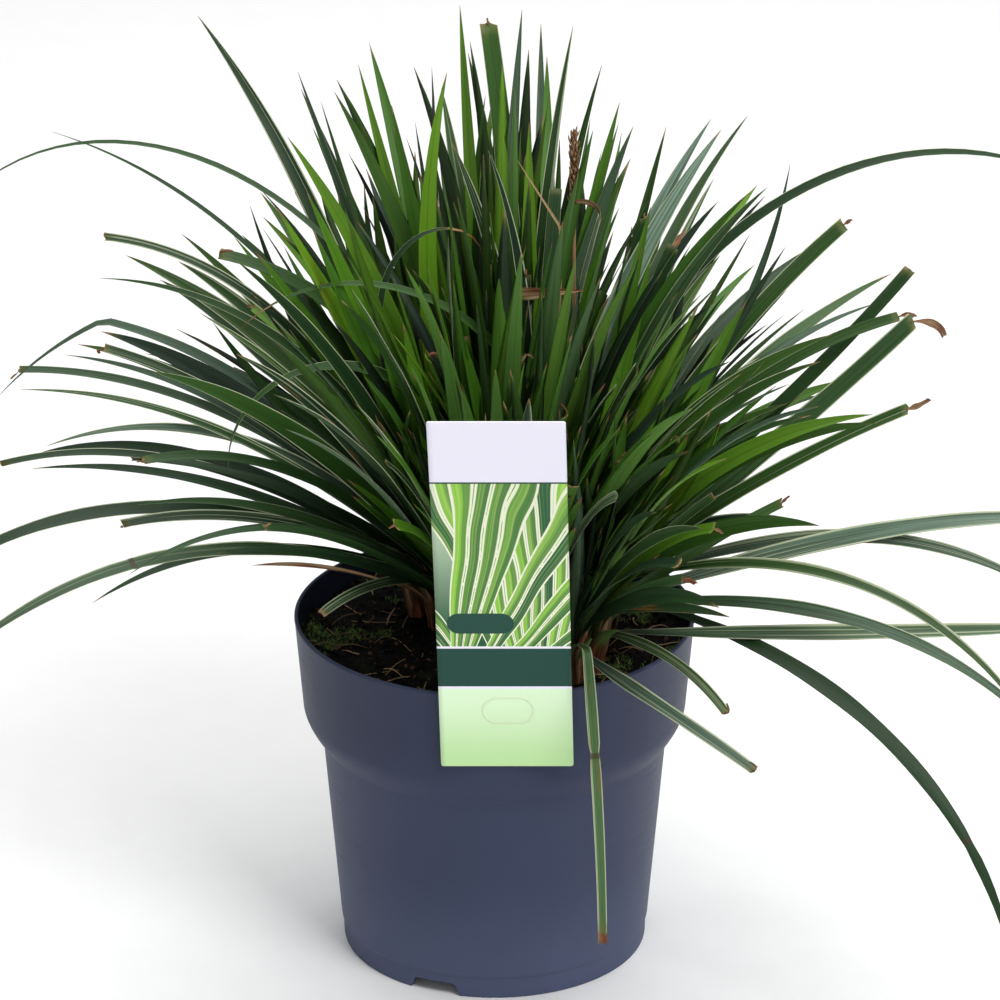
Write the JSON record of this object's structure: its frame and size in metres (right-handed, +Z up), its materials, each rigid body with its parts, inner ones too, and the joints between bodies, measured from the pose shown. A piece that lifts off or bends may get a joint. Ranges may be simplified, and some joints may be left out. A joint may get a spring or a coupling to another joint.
{
  "type": "potted sedge",
  "caption": "Evergreen variegated sedge: a dense arching clump of grass-like leaves in a round tapered nursery pot with a hanging care label.",
  "frame": {"origin": "middle of the pot's foot ring, on the surface that the pot stands on", "axes": "+Z up along the pot's axis, -Y towards the front where the label hangs, +X to the right of the label"},
  "size_m": [0.6, 0.3572, 0.4482],
  "materials": {
    "pot": "slate blue-grey injection-moulded plastic, satin, slightly shinier on the rim's lip",
    "soil": "dark damp potting compost with fibres, bark crumbs and patches of moss, matt",
    "label": "printed plastic card with a thin glossy film, pale head field, leafy picture field and green lower fields",
    "blade_mid": "smooth leathery leaf, mid green with paler margins, satin",
    "blade_bright": "smooth leathery leaf, fresh green with cream margins, satin",
    "blade_deep": "smooth leathery leaf, deep green with pale margins, satin",
    "spike": "dry brown flower spike on a thin stalk, matt",
    "dry_leaf": "dead straw-brown leaf, matt"
  },
  "bodies": {
    "root": {"pot": "pot", "soil": "soil", "label": "label", "flower_spike": "spike", "dry_leaf_1": "dry_leaf", "dry_leaf_2": "dry_leaf", "shoot_01": "blade_mid", "shoot_02": "blade_bright", "shoot_03": "blade_deep", "shoot_04": "blade_mid", "shoot_05": "blade_bright", "shoot_06": "blade_deep", "shoot_07": "blade_mid", "shoot_08": "blade_bright", "shoot_09": "blade_deep", "shoot_10": "blade_mid", "shoot_11": "blade_bright", "shoot_12": "blade_deep", "shoot_13": "blade_mid", "shoot_14": "blade_bright", "shoot_15": "blade_deep", "shoot_16": "blade_mid", "shoot_17": "blade_bright", "shoot_18": "blade_deep", "shoot_19": "blade_mid", "shoot_20": "blade_bright", "shoot_21": "blade_deep", "shoot_22": "blade_mid", "shoot_23": "blade_bright", "shoot_24": "blade_deep", "shoot_25": "blade_mid", "shoot_26": "blade_bright", "shoot_27": "blade_deep", "shoot_28": "blade_mid", "shoot_29": "blade_bright", "shoot_30": "blade_deep", "shoot_31": "blade_mid", "shoot_32": "blade_bright", "shoot_33": "blade_deep", "shoot_34": "blade_mid", "shoot_35": "blade_bright", "shoot_36": "blade_deep", "shoot_37": "blade_mid", "shoot_38": "blade_bright", "shoot_39": "blade_deep", "shoot_40": "blade_mid", "shoot_41": "blade_bright"}
  },
  "joints": []
}
